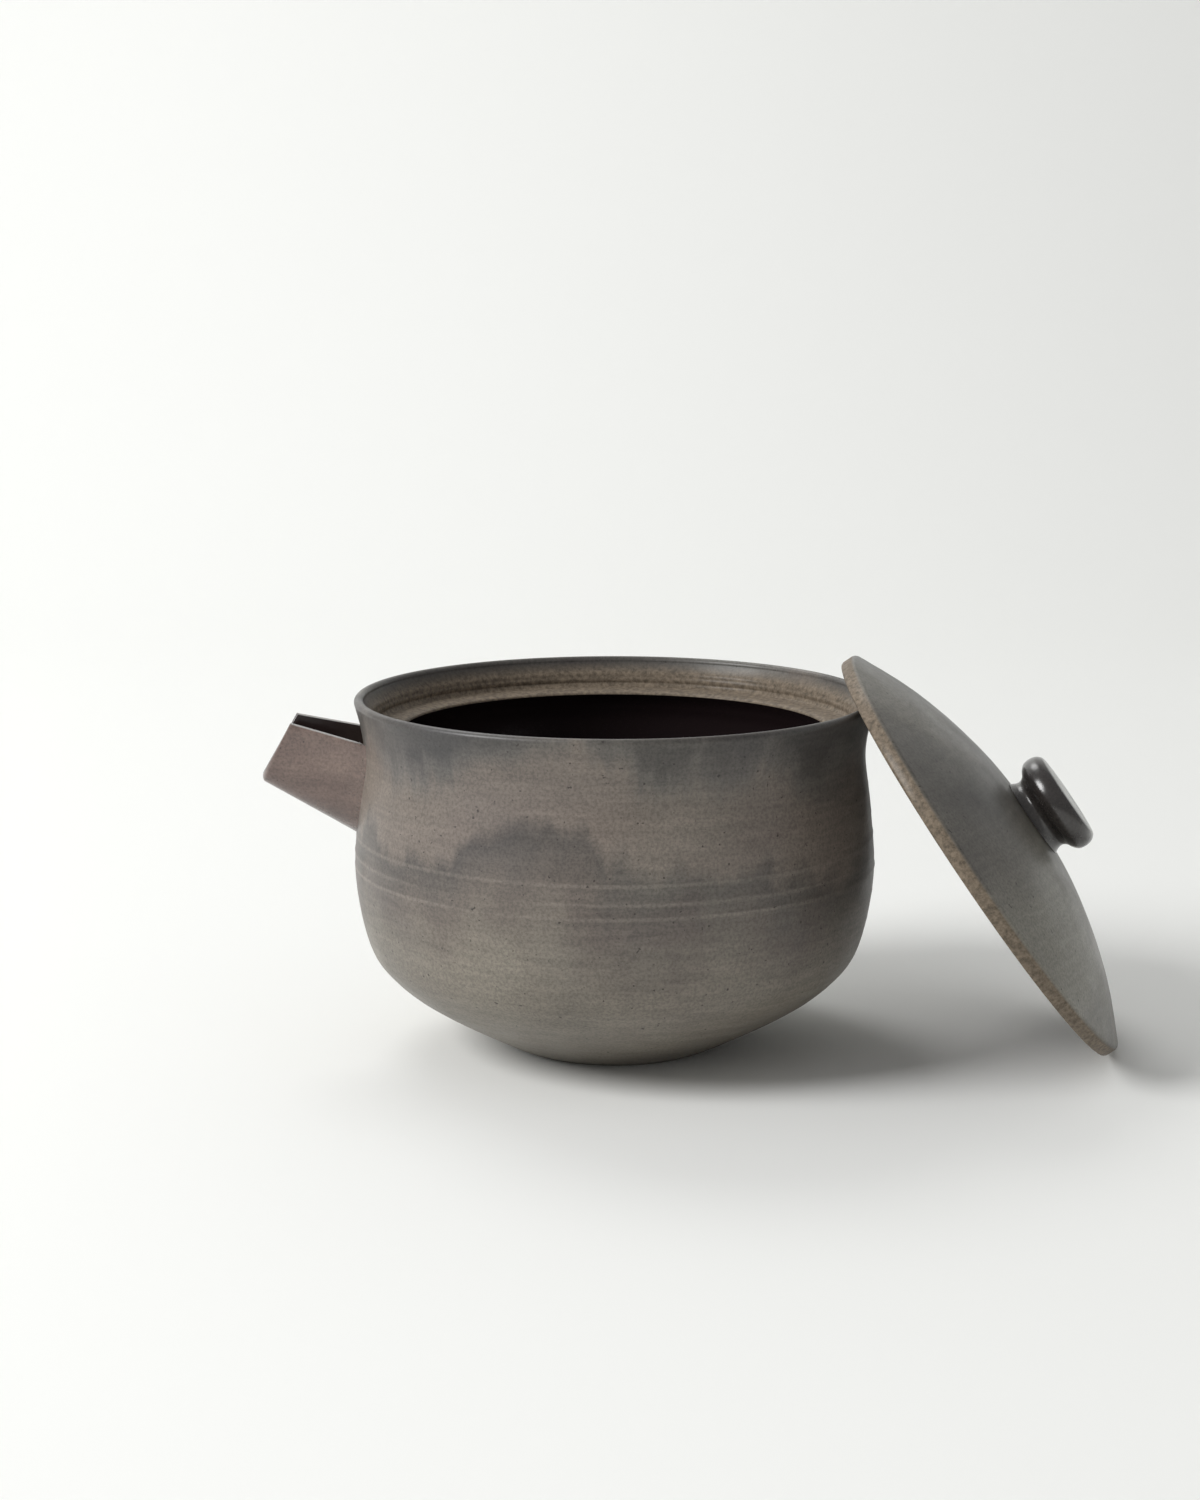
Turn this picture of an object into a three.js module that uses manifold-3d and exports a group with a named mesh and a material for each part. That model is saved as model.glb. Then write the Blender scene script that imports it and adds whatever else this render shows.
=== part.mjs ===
// A lidded sake pitcher in wood-smoked stoneware: a thrown bowl with an open slab spout, and its lid, which
// leans on the rim beside it. Millimetres, +Z up, origin at the centre of the foot, spout towards -X.
import * as THREE from "three";
import { mergeVertices } from "three/addons/utils/BufferGeometryUtils.js";
import Module from "manifold-3d";

const wasm = await Module();
wasm.setup();

// Driving dimensions
const FOOT_RADIUS = 24.3;
const BELLY_RADIUS = 62.5;
const BELLY_HEIGHT = 42;
const NECK_RADIUS = 60.1;
const NECK_HEIGHT = 71;
const LIP_RADIUS = 61.1;
const LIP_HEIGHT = 83.87;
const LIP_HALF_THICKNESS = 1.13;
const WALL = 3.9;
const FLOOR = 5.2;
const LEDGE_RADIUS = 51.1;
const LEDGE_HEIGHT = 76.6;
const GALLERY_RADIUS = 57.3;
const SEAM_GAP = 0.3;

const LID_RADIUS = 56.3;
const LID_BAND = 3.3;
const LID_HEIGHT = 17.4;
const LID_SEAT_RADIUS = 52.8;
const LID_TILT = THREE.MathUtils.degToRad(54.7);
const LID_TURN = THREE.MathUtils.degToRad(-5.2);
const LID_CENTRE_X = 86.15;
const LID_CENTRE_Y = -4.65;
const TABLE_GAP = 0.05;

const KNOB_RADIUS = 12.3;
const KNOB_NECK_RADIUS = 9.3;
const KNOB_NECK_HEIGHT = 2.6;
const KNOB_HEIGHT = 9.5;

const SPOUT_WALL = 2.2;
const SPOUT_ROOT_X = -55;
const SPOUT_TIP_X = -84.5;
const SPOUT_ROOT_LOW = 47.8;
const SPOUT_TIP_LOW = 64.2;
const SPOUT_ROOT_TOP = 73.4;
const SPOUT_MOUTH_TOP = 79;
const SPOUT_MOUTH_TOP_X = -76.9;
const SPOUT_ROOT_HALF_WIDTH = 15.2;
const SPOUT_MOUTH_HALF_WIDTH = 7.4;
const SPOUT_EDGE_CURL = 0.8;
const SPOUT_SECTIONS = 8;

const POT_SEGMENTS = 64;
const LID_SEGMENTS = 56;
const KNOB_SEGMENTS = 36;

const glaze = new THREE.MeshStandardMaterial({ color: 0x6b655c, roughness: 0.5, metalness: 0 });
const darkGlaze = new THREE.MeshStandardMaterial({ color: 0x3a3532, roughness: 0.35, metalness: 0 });
const spoutGlaze = new THREE.MeshStandardMaterial({ color: 0x6e605a, roughness: 0.4, metalness: 0 });
const lidGlaze = new THREE.MeshStandardMaterial({ color: 0x7a776d, roughness: 0.45, metalness: 0 });

const at = (radius, height) => new THREE.Vector2(radius, height);

// Points on a smooth curve through the given ones
function smooth(points, count) {
  return new THREE.SplineCurve(points).getPoints(count);
}

// Points on a circular arc, angles in degrees from +X
function arc(centreRadius, centreHeight, radius, from, to, count) {
  const points = [];
  for (let i = 0; i <= count; i += 1) {
    const angle = THREE.MathUtils.degToRad(from + ((to - from) * i) / count);
    points.push(at(centreRadius + radius * Math.cos(angle), centreHeight + radius * Math.sin(angle)));
  }
  return points;
}

// A profile turned about the vertical axis
function turned(profile, segments) {
  const geometry = new THREE.LatheGeometry(profile, segments);
  return geometry.rotateX(Math.PI / 2);
}

function toSolid(geometry) {
  const bare = geometry.index ? geometry.toNonIndexed() : geometry.clone();
  bare.deleteAttribute("normal");
  bare.deleteAttribute("uv");
  const merged = mergeVertices(bare, 1e-4);
  const vertProperties = new Float32Array(merged.attributes.position.array);
  const triVerts = new Uint32Array(merged.index.array);
  return new wasm.Manifold(new wasm.Mesh({ numProp: 3, vertProperties, triVerts }));
}

function toGeometry(solid) {
  const mesh = solid.getMesh();
  const geometry = new THREE.BufferGeometry();
  const positions = new Float32Array(mesh.numVert * 3);
  for (let i = 0; i < mesh.numVert; i += 1) {
    for (let k = 0; k < 3; k += 1) positions[3 * i + k] = mesh.vertProperties[mesh.numProp * i + k];
  }
  geometry.setAttribute("position", new THREE.BufferAttribute(positions, 3));
  geometry.setIndex(new THREE.BufferAttribute(new Uint32Array(mesh.triVerts), 1));
  geometry.computeVertexNormals();
  return geometry;
}

function named(name, geometry, material) {
  const mesh = new THREE.Mesh(geometry, material);
  mesh.name = name;
  return mesh;
}

// Outside of the bowl from the foot to the neck
const outside = smooth(
  [
    at(FOOT_RADIUS, 0),
    at(29.7, 2.5),
    at(44.9, 11),
    at(54.2, 18),
    at(59.5, 26),
    at(BELLY_RADIUS, BELLY_HEIGHT),
    at(61.6, 58),
    at(NECK_RADIUS, NECK_HEIGHT),
    at(61.0, 79),
  ],
  22,
);

// Inside of the bowl from under the ledge to the middle of the floor
const inside = smooth(
  [
    at(LEDGE_RADIUS, LEDGE_HEIGHT),
    at(53.7, 73),
    at(NECK_RADIUS - WALL - 0.4, 66),
    at(BELLY_RADIUS - WALL, BELLY_HEIGHT),
    at(59.5 - WALL - 1.2, 26),
    at(44.9 - WALL - 1, 14.2),
    at(22, FLOOR + 1.2),
    at(0, FLOOR),
  ],
  18,
);

function bowlSolid() {
  const lip = arc(LIP_RADIUS, LIP_HEIGHT, LIP_HALF_THICKNESS, -20, 190, 7);
  const gallery = [at(GALLERY_RADIUS + 0.4, 80.3), at(GALLERY_RADIUS, 77.9), at(52.4, 77.3)];
  const profile = [at(0, 0), ...outside, ...lip, ...gallery, ...inside];
  return toSolid(turned(profile, POT_SEGMENTS));
}

// One U-shaped section of the trough, from the near top edge round the bottom to the far one
function troughSection(x, halfWidth, low, top, topX, inset) {
  const points = [];
  const steps = 10;
  const width = halfWidth - inset;
  const bottom = low + inset * 1.1;
  for (let i = 0; i <= steps; i += 1) {
    const angle = (Math.PI * i) / steps;
    const depth = Math.sin(angle) ** 0.8;
    const side = -Math.cos(angle);
    const curl = SPOUT_EDGE_CURL * (1 - depth) ** 3;
    const height = top + (bottom - top) * depth;
    const along = topX + (x - topX) * depth;
    const pull = Math.sign(side) * Math.abs(side) ** 0.75;
    points.push(new THREE.Vector3(along, pull * (width + curl), height));
  }
  return points;
}

// The trough's sections from the root to the mouth, at an inset from its outer face
function troughSections(inset, rise, rootShift, mouthShift) {
  const mix = THREE.MathUtils.lerp;
  const sections = [];
  for (let i = 0; i <= SPOUT_SECTIONS; i += 1) {
    const t = i / SPOUT_SECTIONS;
    const reach = mix(rootShift, mouthShift, t);
    const halfWidth = mix(SPOUT_ROOT_HALF_WIDTH, SPOUT_MOUTH_HALF_WIDTH, t ** 0.8);
    const low = mix(SPOUT_ROOT_LOW, SPOUT_TIP_LOW, t);
    const top = mix(SPOUT_ROOT_TOP, SPOUT_MOUTH_TOP, t) + rise;
    const x = mix(SPOUT_ROOT_X, SPOUT_TIP_X, t) + reach;
    const topX = mix(SPOUT_ROOT_X + 2, SPOUT_MOUTH_TOP_X, t) + reach;
    sections.push(troughSection(x, halfWidth, low, top, topX, inset));
  }
  return sections;
}

// A closed solid through a row of sections, each a fan-closed loop
function lofted(sections) {
  const size = sections[0].length;
  const positions = [];
  const index = [];
  for (const section of sections) for (const p of section) positions.push(p.x, p.y, p.z);
  for (let s = 0; s + 1 < sections.length; s += 1) {
    for (let i = 0; i < size; i += 1) {
      const a = s * size + i;
      const b = s * size + ((i + 1) % size);
      index.push(a, b, a + size, b, b + size, a + size);
    }
  }
  const last = (sections.length - 1) * size;
  for (let i = 1; i + 1 < size; i += 1) {
    index.push(0, i + 1, i);
    index.push(last, last + i, last + i + 1);
  }
  const geometry = new THREE.BufferGeometry();
  geometry.setAttribute("position", new THREE.Float32BufferAttribute(positions, 3));
  geometry.setIndex(index);
  const solid = toSolid(geometry);
  if (solid.volume() > 0) return solid;
  for (let i = 0; i < index.length; i += 3) [index[i + 1], index[i + 2]] = [index[i + 2], index[i + 1]];
  geometry.setIndex(index);
  return toSolid(geometry);
}

const bowl = bowlSolid();

// The space inside the trough, run on through the wall and out of the mouth
const channel = lofted(troughSections(SPOUT_WALL, 0, 0, 0));
const channelOpen = channel
  .add(channel.translate([-2.5, 0, 1.35]))
  .add(channel.translate([0, 0, 3]))
  .add(channel.translate([-2.5, 0, 4.35]));
const pourHole = channel.translate([7, 0, -4]).add(channel).add(channel.translate([3, 0, -1.8]));

// The bowl's outer skin grown by the seam gap, to cut the root of the spout to the round wall
const grownSkin = toSolid(
  turned(
    [at(0, 0), ...outside.map((p) => at(p.x + SEAM_GAP, p.y)), at(63, 83), at(63, 90), at(0, 90)],
    POT_SEGMENTS,
  ),
);

const trough = lofted(troughSections(0, 0, 0, 0)).subtract(channelOpen).subtract(grownSkin);

const lidTop = smooth(
  [at(LID_RADIUS - 0.5, LID_BAND + 0.5), at(46, 8.4), at(38, 11.4), at(28, 14.2), at(16, 16.4), at(0, LID_HEIGHT)],
  12,
);
const lidUnder = smooth([at(0, 12), at(20, 11), at(38, 7.4), at(46.5, 5.2), at(51.2, 2.4), at(LID_SEAT_RADIUS, 0)], 12);

function lidGeometry() {
  const edge = [at(LID_RADIUS - 0.6, 0), at(LID_RADIUS, 0.6), at(LID_RADIUS, LID_BAND - 0.3)];
  return turned([...lidUnder, ...edge, ...lidTop], LID_SEGMENTS);
}

function knobGeometry() {
  const base = LID_HEIGHT + SEAM_GAP;
  const neck = [at(0, base), at(KNOB_NECK_RADIUS, base), at(KNOB_NECK_RADIUS - 0.5, base + 1.2)];
  const flare = [at(KNOB_NECK_RADIUS, base + KNOB_NECK_HEIGHT), at(KNOB_RADIUS - 1.3, base + 3.5)];
  const round = arc(KNOB_RADIUS - 2.6, base + KNOB_HEIGHT - 3, 2.6, -60, 70, 6);
  return turned([...neck, ...flare, ...round, at(0, base + KNOB_HEIGHT)], KNOB_SEGMENTS);
}

const lidPose = new THREE.Group();
lidPose.position.set(LID_CENTRE_X, LID_CENTRE_Y, LID_RADIUS * Math.sin(LID_TILT) + TABLE_GAP);
lidPose.rotation.set(0, LID_TILT, LID_TURN, "ZYX");
lidPose.add(named("lid", lidGeometry(), lidGlaze));
lidPose.add(named("lid_knob", knobGeometry(), darkGlaze));

const pitcher = new THREE.Group();
pitcher.add(named("pot_body", toGeometry(bowl.subtract(pourHole)), glaze));
pitcher.add(named("spout", toGeometry(trough), spoutGlaze));
pitcher.add(lidPose);

export default pitcher;
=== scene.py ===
import math

import bpy
import numpy as np
from mathutils import Matrix, Vector


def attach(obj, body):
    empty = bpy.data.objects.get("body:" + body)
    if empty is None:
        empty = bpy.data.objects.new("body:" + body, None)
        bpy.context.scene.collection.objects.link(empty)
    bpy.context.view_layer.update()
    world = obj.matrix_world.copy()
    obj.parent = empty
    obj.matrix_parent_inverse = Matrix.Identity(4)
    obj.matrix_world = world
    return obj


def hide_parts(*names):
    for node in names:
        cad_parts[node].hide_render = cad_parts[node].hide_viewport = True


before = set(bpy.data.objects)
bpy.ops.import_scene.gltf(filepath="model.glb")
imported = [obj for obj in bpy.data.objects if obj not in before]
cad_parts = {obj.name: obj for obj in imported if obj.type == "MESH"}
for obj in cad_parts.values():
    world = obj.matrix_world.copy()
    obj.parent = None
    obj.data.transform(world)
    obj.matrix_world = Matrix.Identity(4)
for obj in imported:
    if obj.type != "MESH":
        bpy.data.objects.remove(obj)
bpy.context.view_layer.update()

MM = 0.001

# Camera, from the photograph's perspective: its place in metres, how far it looks down in degrees,
# and its lens and sensor in millimetres
CAMERA_PLACE = (-0.00353, -0.6614, 0.1931)
CAMERA_PITCH_DOWN = 10.43
CAMERA_LENS = 67.2
SENSOR_HEIGHT = 36.0

# Round soft lamps: name, place in metres, width in metres, power in watts
LAMPS = [("key", (-1.25, -0.55, 1.0), 0.8, 22), ("back", (-0.5, 0.9, 1.3), 0.7, 5)]
LAMP_AIM = (0, 0, 0.05)
WORLD_STRENGTH = 0.36

# The floor runs flat to a bend and turns up into a backdrop, in millimetres
FLOOR_NEAR = -3000
FLOOR_BEND = 700
FLOOR_HALF_WIDTH = 3000
FLOOR_DROP = 0.05
BEND_RADIUS = 500
BEND_ANGLES = np.linspace(0.1, math.pi / 2, 14)
BACKDROP_TOP = 2600

# The bowl's profile as (radius, height), in millimetres
OUTSIDE = [(24.3, 0), (29.7, 2.5), (44.9, 11), (54.2, 18), (59.5, 26),
           (62.5, 42), (61.6, 58), (60.1, 71), (61.0, 79)]
INSIDE = [(51.1, 76.6), (53.7, 73), (55.8, 66), (58.6, 42), (54.4, 26), (40, 14.2), (22, 6.4), (0, 5.2)]
GALLERY = [(58.1, 81.2), (57.75, 80.5), (57.8, 80.2), (57.5, 79.9), (57.45, 78.9), (57.6, 78.7),
           (57.35, 78.4), (57.2, 77.9), (56.7, 77.6), (54.5, 77.5), (52.6, 77.3), (51.7, 77.05)]
FOOT_MIDDLE = [(0, 0), (12, 0)]
LIP_RADIUS = 61.1
LIP_HEIGHT = 83.87
LIP_HALF_THICKNESS = 1.13
LIP_ARC_DEGREES = (-20, 190)

# Throwing rings round the bowl as (height, how far they stand out), in millimetres
RINGS = [(44.8, 0.22), (48.0, 0.14), (52.2, 0.16), (57.5, 0.07), (38.5, 0.09), (32.0, 0.07), (64.0, 0.06)]
RING_WIDTH = 0.45
RING_DRIFT = 0.25
RING_INSET = 0.08
RING_STEADY_SHARE = 0.7
RING_VARYING_SHARE = 0.3
RING_CHANGES_ROUND = 3
RINGS_END_HEIGHT = 81
RINGS_START_HEIGHT = 1.5
RINGS_LEAST_RADIUS = 50

# The lid and its knob as (radius, height) in the lid's own frame, and how the lid leans
LID_RADIUS = 56.3
LID_UNDER = [(0, 12), (20, 11), (38, 7.4), (46.5, 5.2), (51.2, 2.4), (52.8, 0)]
LID_EDGE = [(55.7, 0), (56.1, 0.15), (56.3, 0.6), (56.3, 1.8), (56.3, 2.9), (56.1, 3.5)]
LID_TOP = [(55.8, 3.8), (46, 8.4), (38, 11.4), (28, 14.2), (16, 16.4), (0, 17.4)]
LID_TILT = math.radians(54.7)
LID_TURN = math.radians(-5.2)
TABLE_GAP = 0.05
LID_PLACE = (86.15, -4.65, LID_RADIUS * math.sin(LID_TILT) + TABLE_GAP)
KNOB_BASE = 16.6
KNOB = [(9.9, 17.0), (9.5, 17.6), (9.1, 18.5), (9.1, 19.5), (9.7, 20.4), (11.0, 21.2), (12.0, 22.3),
        (12.3, 23.8), (12.1, 25.3), (11.4, 26.4), (10.2, 27.0), (6, 27.15), (0, 27.2)]

# Faint turning waves on the lid's top: height in millimetres, then radians
LID_WAVE_HEIGHT = 0.03
LID_WAVE_RADIANS_PER_MM = 1.4
LID_WAVE_DRIFT = 0.6
LID_WAVES_START_HEIGHT = 4

# The spout: a trough from the wall (root) to the mouth, in millimetres
ROOT_X = -55.0
ROOT_TOP_X = -53.0
TIP_X = -84.5
MOUTH_TOP_X = -76.9
ROOT_LOW = 47.8
TIP_LOW = 64.2
ROOT_TOP = 73.4
MOUTH_TOP = 79.0
ROOT_HALF_WIDTH = 15.2
MOUTH_HALF_WIDTH = 7.4
SPOUT_WALL = 2.2
FLOOR_TO_WALL = 1.1
EDGE_CURL = 0.8
EDGE_BEVEL = 0.7
EDGE_BEVEL_SEGMENTS = 3
EDGE_BEVEL_ANGLE = math.radians(50)

# Powers that shape the trough: how early it narrows, and how square its U is
NARROWING_POWER = 0.8
U_DEPTH_POWER = 0.8
U_WIDTH_POWER = 0.75

# The part of the root-to-mouth run that is built, and the rounding of the mouth's edge in millimetres
TROUGH_START = 0.14
TROUGH_END = 0.985
MOUTH_ROUND_REACH = 0.45
MOUTH_ROUND_LIFT = 0.5
MOUTH_RIDGE = 0.03

# How finely each piece is divided
OUTSIDE_STEPS = 150
LIP_POINTS = 18
INSIDE_STEPS = 90
LID_UNDER_STEPS = 50
LID_TOP_STEPS = 80
KNOB_STEPS = 70
POT_SEGMENTS = 256
LID_SEGMENTS = 224
KNOB_SEGMENTS = 128
TROUGH_SECTIONS = 26
TROUGH_STEPS = 40
MOUTH_ROUND_STEPS = 5


def srgb(r, g, b):
    """A colour given as 0 to 255 on the screen, as linear values."""
    return tuple(((c / 255 + 0.055) / 1.055) ** 2.4 if c > 10 else c / 3294.6 for c in (r, g, b))


BARE_CLAY = srgb(84, 74, 61)
TAN_CLAY = srgb(128, 114, 97)
IRON_FLECK = srgb(38, 30, 28)
RING_COLOUR = srgb(158, 148, 138)
FLOOR_COLOUR = (0.92, 0.925, 0.905, 1)

# Roughness as a grey, because it is mixed as a colour is
GLOSSY_ROUGHNESS = (0.2, 0.2, 0.2)
BARE_ROUGHNESS = (0.8, 0.8, 0.8)
COAT_ROUGHNESS = 0.25

# The smoke's colours up the bowl, from foot to lip: a level of 1 is an eighth of a metre up
SMOKE_BANDS = [(0.0, srgb(116, 110, 100)), (0.22, srgb(128, 121, 110)), (0.34, srgb(100, 91, 85)),
               (0.43, srgb(76, 71, 69)), (0.475, srgb(122, 111, 103)), (0.58, srgb(116, 106, 98)),
               (0.63, srgb(86, 83, 80)), (0.67, srgb(52, 51, 52))]
SMOKE_LEVEL_PER_METRE = 8.0
SMOKE_WANDER = 0.5
SMOKE_SHARE = 0.7

# Pale lines on the strongest rings as (height in millimetres, how pale), and how far each one fades out
RING_LINES = [(32.0, 0.12), (38.5, 0.16), (44.8, 0.6), (48.0, 0.32), (52.2, 0.42)]
RING_LEVEL_PER_METRE = 10.0
RING_LINE_BELOW = 0.7
RING_LINE_ABOVE = 0.5


def spline(points, count):
    """Points on a smooth curve through the given ones, evenly in parameter."""
    p = np.array(points, float)
    out = []
    for i in range(count + 1):
        u = i / count * (len(p) - 1)
        k = min(int(u), len(p) - 2)
        w = u - k
        p0, p1, p2, p3 = p[max(k - 1, 0)], p[k], p[k + 1], p[min(k + 2, len(p) - 1)]
        v0, v1 = (p2 - p0) / 2, (p3 - p1) / 2
        cubic = (2 * p1 - 2 * p2 + v0 + v1) * w**3
        square = (-3 * p1 + 3 * p2 - 2 * v0 - v1) * w**2
        out.append(cubic + square + v0 * w + p1)
    return np.array(out)


def lip_arc(count):
    """The rounded lip, from its outer side over the top to its inner side."""
    angles = np.radians(np.linspace(*LIP_ARC_DEGREES, count))
    radii = LIP_RADIUS + LIP_HALF_THICKNESS * np.cos(angles)
    return np.c_[radii, LIP_HEIGHT + LIP_HALF_THICKNESS * np.sin(angles)]


def mesh_object(name, verts, faces, material, attributes=None):
    """A smooth-shaded object from points in millimetres, with a float attribute for each named list."""
    mesh = bpy.data.meshes.new(name)
    mesh.from_pydata([tuple(v) for v in np.asarray(verts) * MM], [], faces)
    for key, values in (attributes or {}).items():
        layer = mesh.attributes.new(key, "FLOAT", "POINT")
        layer.data.foreach_set("value", np.asarray(values, np.float32))
    mesh.polygons.foreach_set("use_smooth", [True] * len(mesh.polygons))
    mesh.materials.append(material)
    mesh.validate()
    obj = bpy.data.objects.new(name, mesh)
    bpy.context.scene.collection.objects.link(obj)
    return obj


def lathe(name, profile, segments, material, relief=None, attributes=None):
    """A closed turned body: the profile starts and ends on the axis."""
    profile = np.asarray(profile, float)
    body = profile[1:-1]
    theta = np.linspace(0, 2 * np.pi, segments, endpoint=False)
    verts = [(0, 0, profile[0][1])]
    for r, z in body:
        radius = r + (relief(r, z, theta) if relief else np.zeros(segments))
        verts += list(np.c_[radius * np.cos(theta), radius * np.sin(theta), np.full(segments, z)])
    verts.append((0, 0, profile[-1][1]))
    last = len(verts) - 1
    top_ring = 1 + (len(body) - 1) * segments
    faces = []
    for k in range(segments):
        n = (k + 1) % segments
        faces.append((0, 1 + n, 1 + k))
        for i in range(len(body) - 1):
            a = 1 + i * segments
            b = a + segments
            faces.append((a + k, a + n, b + n, b + k))
        faces.append((top_ring + k, top_ring + n, last))
    rows = {}
    for key, values in (attributes or {}).items():
        rows[key] = np.r_[values[0], np.repeat(values[1:-1], segments), values[-1]]
    return mesh_object(name, verts, faces, material, rows)


def new_material(name):
    """A new material with its node tree and its shader."""
    material = bpy.data.materials.new(name)
    material.use_nodes = True
    tree = material.node_tree
    return material, tree, tree.nodes["Principled BSDF"]


class Nodes:
    """Short calls that add nodes to one material's tree."""

    def __init__(self, tree):
        self.tree = tree
        self.coord = tree.nodes.new("ShaderNodeTexCoord").outputs["Object"]

    def link(self, a, b):
        self.tree.links.new(a, b)

    def feed(self, socket, value):
        """Sets a socket to a number or a colour, or links it."""
        if isinstance(value, (int, float)):
            socket.default_value = value
        elif isinstance(value, tuple):
            socket.default_value = (*value, 1)
        else:
            self.link(value, socket)

    def noise(self, scale, detail, rough, stretch=None, distortion=0.0):
        node = self.tree.nodes.new("ShaderNodeTexNoise")
        node.inputs["Scale"].default_value = scale
        node.inputs["Detail"].default_value = detail
        node.inputs["Roughness"].default_value = rough
        node.inputs["Distortion"].default_value = distortion
        source = self.coord
        if stretch:
            mapping = self.tree.nodes.new("ShaderNodeMapping")
            mapping.inputs["Scale"].default_value = stretch
            self.link(self.coord, mapping.inputs["Vector"])
            source = mapping.outputs["Vector"]
        self.link(source, node.inputs["Vector"])
        return node.outputs["Fac"]

    def ramp(self, value, stops):
        """Colours or numbers read off at a value, from stops as (place, colour or number)."""
        node = self.tree.nodes.new("ShaderNodeValToRGB")
        elements = node.color_ramp.elements
        while len(elements) < len(stops):
            elements.new(0.5)
        for element, (place, colour) in zip(elements, stops):
            element.position = place
            element.color = (*colour, 1) if isinstance(colour, tuple) else (colour, colour, colour, 1)
        self.link(value, node.inputs["Fac"])
        return node.outputs["Color"]

    def mix(self, factor, a, b):
        node = self.tree.nodes.new("ShaderNodeMix")
        node.data_type = "RGBA"
        self.feed(node.inputs[0], factor)
        self.feed(node.inputs[6], a)
        self.feed(node.inputs[7], b)
        return node.outputs[2]

    def multiply(self, a, b):
        result = self.mix(1.0, a, b)
        result.node.blend_type = "MULTIPLY"
        return result

    def math(self, kind, a, b):
        node = self.tree.nodes.new("ShaderNodeMath")
        node.operation = kind
        self.feed(node.inputs[0], a)
        self.feed(node.inputs[1], b)
        return node.outputs[0]

    def attribute(self, name):
        node = self.tree.nodes.new("ShaderNodeAttribute")
        node.attribute_name = name
        return node.outputs["Fac"]

    def height(self):
        split = self.tree.nodes.new("ShaderNodeSeparateXYZ")
        self.link(self.coord, split.inputs[0])
        return split.outputs["Z"]

    def bump(self, height, strength, distance, normal=None):
        node = self.tree.nodes.new("ShaderNodeBump")
        node.inputs["Strength"].default_value = strength
        node.inputs["Distance"].default_value = distance
        self.link(height, node.inputs["Height"])
        if normal:
            self.link(normal, node.inputs["Normal"])
        return node.outputs["Normal"]


def smoke_bands(n):
    """The kiln's smoke up the bowl: a wavy dark cloud, pale clay above it, a dark line under the lip."""
    height = n.height()
    wave = n.noise(scale=30, detail=5, rough=0.62, stretch=(1, 1, 0.35), distortion=0.4)
    wander = n.math("MULTIPLY", n.math("SUBTRACT", wave, 0.5), SMOKE_WANDER)
    level = n.math("MULTIPLY", height, SMOKE_LEVEL_PER_METRE)
    return ring_lines(n, height, n.ramp(n.math("ADD", level, wander), SMOKE_BANDS))


def ring_lines(n, height, colour):
    """The colour with pale broken lines along the strongest throwing rings."""
    scale = MM * RING_LEVEL_PER_METRE
    stops = [(0.0, 0.0)]
    for ring, amount in RING_LINES:
        stops.append(((ring - RING_LINE_BELOW) * scale, 0.0))
        stops.append((ring * scale, amount))
        stops.append(((ring + RING_LINE_ABOVE) * scale, 0.0))
    lines = n.ramp(n.math("MULTIPLY", height, RING_LEVEL_PER_METRE), stops)
    patches = n.noise(scale=22, detail=3, rough=0.6, stretch=(1, 1, 3))
    broken = n.ramp(patches, [(0.38, 0.15), (0.6, 1.0)])
    return n.mix(n.math("MULTIPLY", lines, broken), colour, RING_COLOUR)


def bare_clay(n):
    """Unglazed clay, mottled from brown to tan."""
    mottle = n.noise(scale=900, detail=3, rough=0.7)
    return n.mix(n.ramp(mottle, [(0.35, 0.0), (0.65, 1.0)]), BARE_CLAY, TAN_CLAY)


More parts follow.
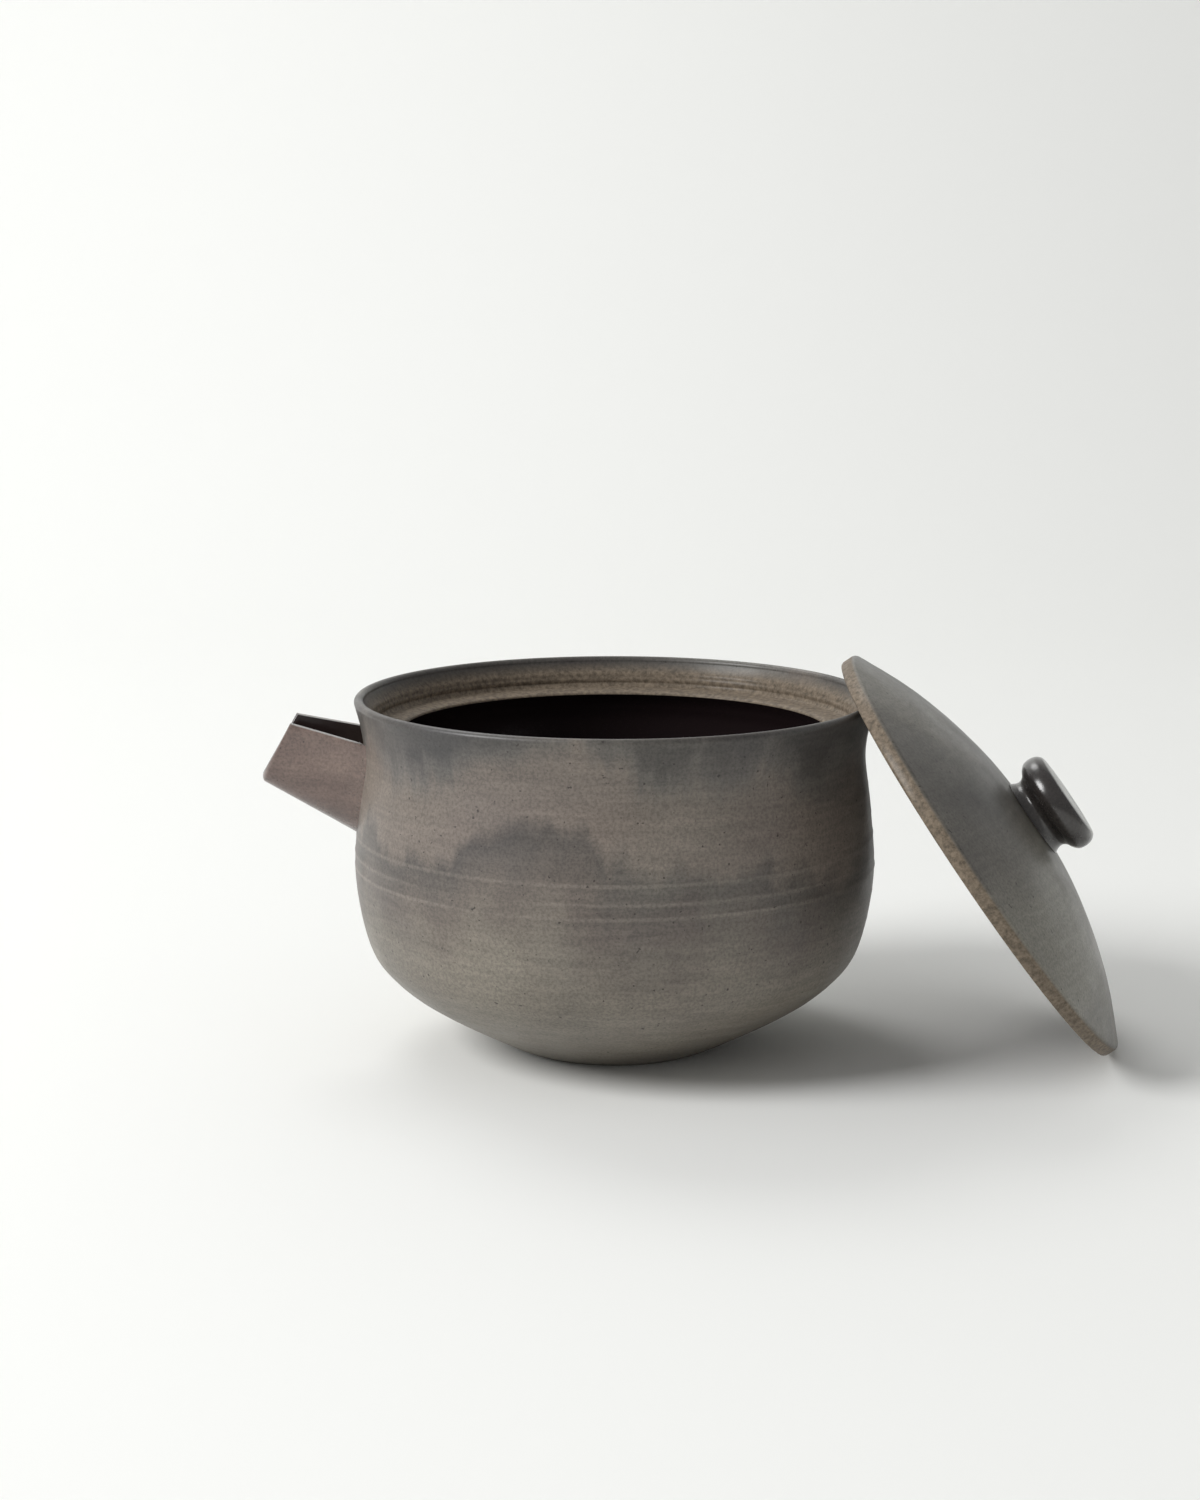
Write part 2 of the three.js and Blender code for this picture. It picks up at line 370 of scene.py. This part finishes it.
def glaze(name, light, middle, dark, cloud, rough, coat, bare=True, inner=None, banded=False):
    """A smoked glaze: drifting greys, clouds, streaks, grain and iron flecks.

    Where the mesh's attributes say so, bare gives bare clay and inner a glossy colour.
    banded lays the kiln's smoke up the bowl over the greys.
    """
    material, tree, shader = new_material(name)
    n = Nodes(tree)
    drift = n.noise(scale=16, detail=3, rough=0.5, distortion=0.6)
    colour = n.ramp(drift, [(0.34, dark), (0.5, middle), (0.66, light)])
    clouds = n.noise(scale=24, detail=4, rough=0.5, stretch=(1, 1, 1.5), distortion=0.5)
    colour = n.mix(n.ramp(clouds, [(0.52, 0.0), (0.66, 0.6)]), colour, cloud)
    if banded:
        colour = n.mix(SMOKE_SHARE, colour, smoke_bands(n))
    streaks = n.noise(scale=60, detail=5, rough=0.65, stretch=(1, 1, 12))
    colour = n.multiply(colour, n.ramp(streaks, [(0.35, 0.86), (0.65, 1.1)]))
    grain = n.noise(scale=1500, detail=2, rough=0.7)
    colour = n.multiply(colour, n.ramp(grain, [(0.38, 0.78), (0.5, 1.0), (0.64, 1.16)]))
    specks = n.noise(scale=900, detail=1, rough=0.4)
    colour = n.mix(n.ramp(specks, [(0.735, 0.0), (0.77, 0.8)]), colour, IRON_FLECK)
    patches = n.noise(scale=60, detail=4, rough=0.6)
    roughness = n.ramp(patches, [(0.3, rough - 0.07), (0.7, rough + 0.09)])
    if inner:
        colour = n.mix(n.attribute("inner"), colour, inner)
        roughness = n.mix(n.attribute("inner"), roughness, GLOSSY_ROUGHNESS)
    if bare:
        colour = n.mix(n.attribute("bare"), colour, bare_clay(n))
        roughness = n.mix(n.attribute("bare"), roughness, BARE_ROUGHNESS)
    n.link(colour, shader.inputs["Base Color"])
    n.link(roughness, shader.inputs["Roughness"])
    shader.inputs["Coat Weight"].default_value = coat
    shader.inputs["Coat Roughness"].default_value = COAT_ROUGHNESS
    swells = n.noise(scale=110, detail=3, rough=0.5)
    uneven = n.bump(swells, strength=0.25, distance=0.6 * MM)
    n.link(n.bump(grain, strength=0.22, distance=0.12 * MM, normal=uneven), shader.inputs["Normal"])
    return material


def pot_relief(r, z, theta):
    """How far the throwing rings stand out round the bowl's wall."""
    out = np.zeros(len(theta))
    if z > RINGS_END_HEIGHT or z < RINGS_START_HEIGHT or r < RINGS_LEAST_RADIUS:
        return out
    for height, amount in RINGS:
        drift = RING_DRIFT * np.sin(theta + height)
        ridge = np.exp(-(((z - height - drift) / RING_WIDTH) ** 2))
        share = RING_STEADY_SHARE + RING_VARYING_SHARE * np.sin(RING_CHANGES_ROUND * theta + height)
        out += amount * ridge * share
    return out - RING_INSET


def make_pot():
    """The bowl: bare clay on the foot and the gallery, and a glossy dark inside."""
    material = glaze("smoked_glaze", light=srgb(136, 132, 120), middle=srgb(112, 105, 95),
                     dark=srgb(74, 71, 68), cloud=srgb(92, 79, 75), rough=0.46, coat=0.15,
                     inner=srgb(34, 26, 27), banded=True)
    outside = spline(OUTSIDE, OUTSIDE_STEPS)
    lip = lip_arc(LIP_POINTS)
    profile = np.vstack([FOOT_MIDDLE, outside, lip, GALLERY, spline(INSIDE, INSIDE_STEPS)])
    gallery_start = len(FOOT_MIDDLE) + len(outside) + len(lip)
    gallery_end = gallery_start + len(GALLERY) + 1
    bare = np.zeros(len(profile))
    bare[:len(FOOT_MIDDLE) + 1] = 1
    bare[gallery_start:gallery_end] = 1
    inner = np.zeros(len(profile))
    inner[gallery_end:] = 1
    return lathe("pot", profile, POT_SEGMENTS, material, pot_relief, {"bare": bare, "inner": inner})


def trough_section(t, inset, forward):
    """A U-shaped line across the trough at t, from the near top edge round the bottom to the far one."""
    narrowing = (MOUTH_HALF_WIDTH - ROOT_HALF_WIDTH) * t**NARROWING_POWER
    half = ROOT_HALF_WIDTH + narrowing - inset
    low = ROOT_LOW + (TIP_LOW - ROOT_LOW) * t + inset * FLOOR_TO_WALL
    top = ROOT_TOP + (MOUTH_TOP - ROOT_TOP) * t
    x = ROOT_X + (TIP_X - ROOT_X) * t - forward
    top_x = ROOT_TOP_X + (MOUTH_TOP_X - ROOT_TOP_X) * t - forward
    points = []
    for i in range(TROUGH_STEPS + 1):
        angle = math.pi * i / TROUGH_STEPS
        depth = max(math.sin(angle), 0) ** U_DEPTH_POWER
        side = -math.cos(angle)
        width = half + EDGE_CURL * (1 - depth) ** 3
        y = math.copysign(abs(side) ** U_WIDTH_POWER, side) * width
        z = top + (low - top) * depth + forward * MOUTH_ROUND_LIFT
        points.append((top_x + (x - top_x) * depth, y, z))
    return points


def trough_loop(t, cut=0.0, forward=0.0):
    """One closed section of the trough's wall: the outer U, then the inner U back."""
    return trough_section(t, cut, forward) + trough_section(t, SPOUT_WALL - cut, forward)[::-1]


def trough_loops():
    """The wall's sections from the root to the mouth, whose edge is rounded over."""
    loops = [trough_loop(t) for t in np.linspace(TROUGH_START, TROUGH_END, TROUGH_SECTIONS)]
    for k in range(1, MOUTH_ROUND_STEPS + 1):
        angle = math.pi / 2 * k / MOUTH_ROUND_STEPS
        cut = (SPOUT_WALL / 2 - MOUTH_RIDGE) * (1 - math.cos(angle))
        loops.append(trough_loop(TROUGH_END, cut, MOUTH_ROUND_REACH * math.sin(angle)))
    return loops


def trough_faces(count, size):
    """Quads along the trough's wall, and across its two ends."""
    faces = []
    for s in range(count - 1):
        for i in range(size):
            a = s * size + i
            b = s * size + (i + 1) % size
            faces.append((a, b, b + size, a + size))
    mouth = (count - 1) * size
    for i in range(size // 2 - 1):
        faces.append((size - 1 - i, size - 2 - i, i + 1, i))
    for i in range(size // 2 - 1):
        faces.append((mouth + i, mouth + i + 1, mouth + size - 2 - i, mouth + size - 1 - i))
    return faces


def make_spout():
    """The open trough, with a glossier dark inside and softened edges."""
    material = glaze("spout_glaze", light=srgb(132, 114, 104), middle=srgb(104, 87, 80),
                     dark=srgb(70, 57, 54), cloud=srgb(84, 66, 62), rough=0.27, coat=0.4,
                     bare=False, inner=srgb(46, 35, 34))
    loops = trough_loops()
    size = len(loops[0])
    verts = [point for loop in loops for point in loop]
    inner = ([0.0] * (size // 2) + [1.0] * (size // 2)) * len(loops)
    obj = mesh_object("spout_trough", verts, trough_faces(len(loops), size), material, {"inner": inner})
    bpy.context.view_layer.objects.active = obj
    obj.select_set(True)
    bpy.ops.object.mode_set(mode="EDIT")
    bpy.ops.mesh.select_all(action="SELECT")
    bpy.ops.mesh.normals_make_consistent(inside=False)
    bpy.ops.object.mode_set(mode="OBJECT")
    bevel = obj.modifiers.new("edges", "BEVEL")
    bevel.width = EDGE_BEVEL * MM
    bevel.segments = EDGE_BEVEL_SEGMENTS
    bevel.limit_method = "ANGLE"
    bevel.angle_limit = EDGE_BEVEL_ANGLE
    return obj


def lid_relief(r, z, theta):
    """Faint turning waves on the lid's top."""
    if z <= LID_WAVES_START_HEIGHT:
        return np.zeros(len(theta))
    return LID_WAVE_HEIGHT * np.sin(r * LID_WAVE_RADIANS_PER_MM + LID_WAVE_DRIFT * np.sin(theta))


def make_lid():
    """The lid's disc: a glazed top and hollow, and a bare edge and seat."""
    material = glaze("lid_glaze", light=srgb(126, 123, 113), middle=srgb(102, 98, 91),
                     dark=srgb(76, 73, 69), cloud=srgb(84, 80, 76), rough=0.4, coat=0.2,
                     inner=srgb(60, 50, 46))
    under = spline(LID_UNDER, LID_UNDER_STEPS)
    profile = np.vstack([under, LID_EDGE, spline(LID_TOP, LID_TOP_STEPS)])
    seat = len(under) - 2
    bare = np.zeros(len(profile))
    bare[seat:len(under) + len(LID_EDGE) - 1] = 1
    inner = np.zeros(len(profile))
    inner[:seat] = 1
    return lathe("lid_disc", profile, LID_SEGMENTS, material, lid_relief, {"bare": bare, "inner": inner})


def make_knob():
    """The glossy dark disc knob on its short neck."""
    material = glaze("knob_glaze", light=srgb(72, 68, 64), middle=srgb(52, 48, 46),
                     dark=srgb(32, 29, 29), cloud=srgb(40, 33, 33), rough=0.22, coat=0.5, bare=False)
    profile = np.vstack([[(0, KNOB_BASE)], spline(KNOB, KNOB_STEPS)])
    return lathe("knob_disc", profile, KNOB_SEGMENTS, material)


def make_stage():
    """A pale floor that curves up into a backdrop."""
    path = [(FLOOR_NEAR, 0), (FLOOR_BEND, 0)]
    for angle in BEND_ANGLES:
        rise = BEND_RADIUS - BEND_RADIUS * math.cos(angle)
        path.append((FLOOR_BEND + BEND_RADIUS * math.sin(angle), rise))
    path.append((FLOOR_BEND + BEND_RADIUS, BACKDROP_TOP))
    verts = []
    for y, z in path:
        verts += [(-FLOOR_HALF_WIDTH, y, z - FLOOR_DROP), (FLOOR_HALF_WIDTH, y, z - FLOOR_DROP)]
    faces = [(2 * i, 2 * i + 1, 2 * i + 3, 2 * i + 2) for i in range(len(path) - 1)]
    material, _, shader = new_material("studio_floor")
    shader.inputs["Base Color"].default_value = FLOOR_COLOUR
    shader.inputs["Roughness"].default_value = 0.9
    shader.inputs["Specular IOR Level"].default_value = 0.1
    return mesh_object("studio_floor", verts, faces, material)


def add_light(name, place, width, power):
    """A round soft lamp that faces the bowl's middle."""
    data = bpy.data.lights.new(name, "AREA")
    data.shape = "DISK"
    data.size = width
    data.energy = power
    obj = bpy.data.objects.new(name, data)
    bpy.context.scene.collection.objects.link(obj)
    obj.location = place
    direction = Vector(LAMP_AIM) - obj.location
    obj.rotation_euler = direction.to_track_quat("-Z", "Y").to_euler()


def add_world():
    """Even white light from all round."""
    world = bpy.data.worlds.new("studio_world")
    bpy.context.scene.world = world
    world.use_nodes = True
    background = world.node_tree.nodes["Background"]
    background.inputs["Color"].default_value = (1, 1, 1, 1)
    background.inputs["Strength"].default_value = WORLD_STRENGTH


def add_camera():
    """The photograph's camera, which looks along +Y and down."""
    data = bpy.data.cameras.new("camera")
    data.lens = CAMERA_LENS
    data.sensor_fit = "VERTICAL"
    data.sensor_height = SENSOR_HEIGHT
    camera = bpy.data.objects.new("camera", data)
    bpy.context.scene.collection.objects.link(camera)
    camera.location = CAMERA_PLACE
    camera.rotation_euler = (math.radians(90 - CAMERA_PITCH_DOWN), 0, 0)
    bpy.context.scene.camera = camera


# The lid's pose is put into its meshes, so that the objects themselves stay unturned at the origin
lid_pose = (Matrix.Translation([c * MM for c in LID_PLACE])
            @ Matrix.Rotation(LID_TURN, 4, "Z") @ Matrix.Rotation(LID_TILT, 4, "Y"))

pot = make_pot()
spout = make_spout()
lid = make_lid()
knob = make_knob()
for piece in (lid, knob):
    piece.data.transform(lid_pose)
bpy.context.view_layer.update()
for piece, body, node, slot in (
    (pot, "pot", "pot_body", "smoked_glaze"),
    (spout, "pot", "spout", "spout_glaze"),
    (lid, "lid", "lid", "lid_glaze"),
    (knob, "lid", "lid_knob", "knob_glaze"),
):
    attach(piece, body)
    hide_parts(node)

make_stage()
for lamp in LAMPS:
    add_light(*lamp)
add_world()
add_camera()
bpy.context.scene.view_settings.view_transform = "Standard"
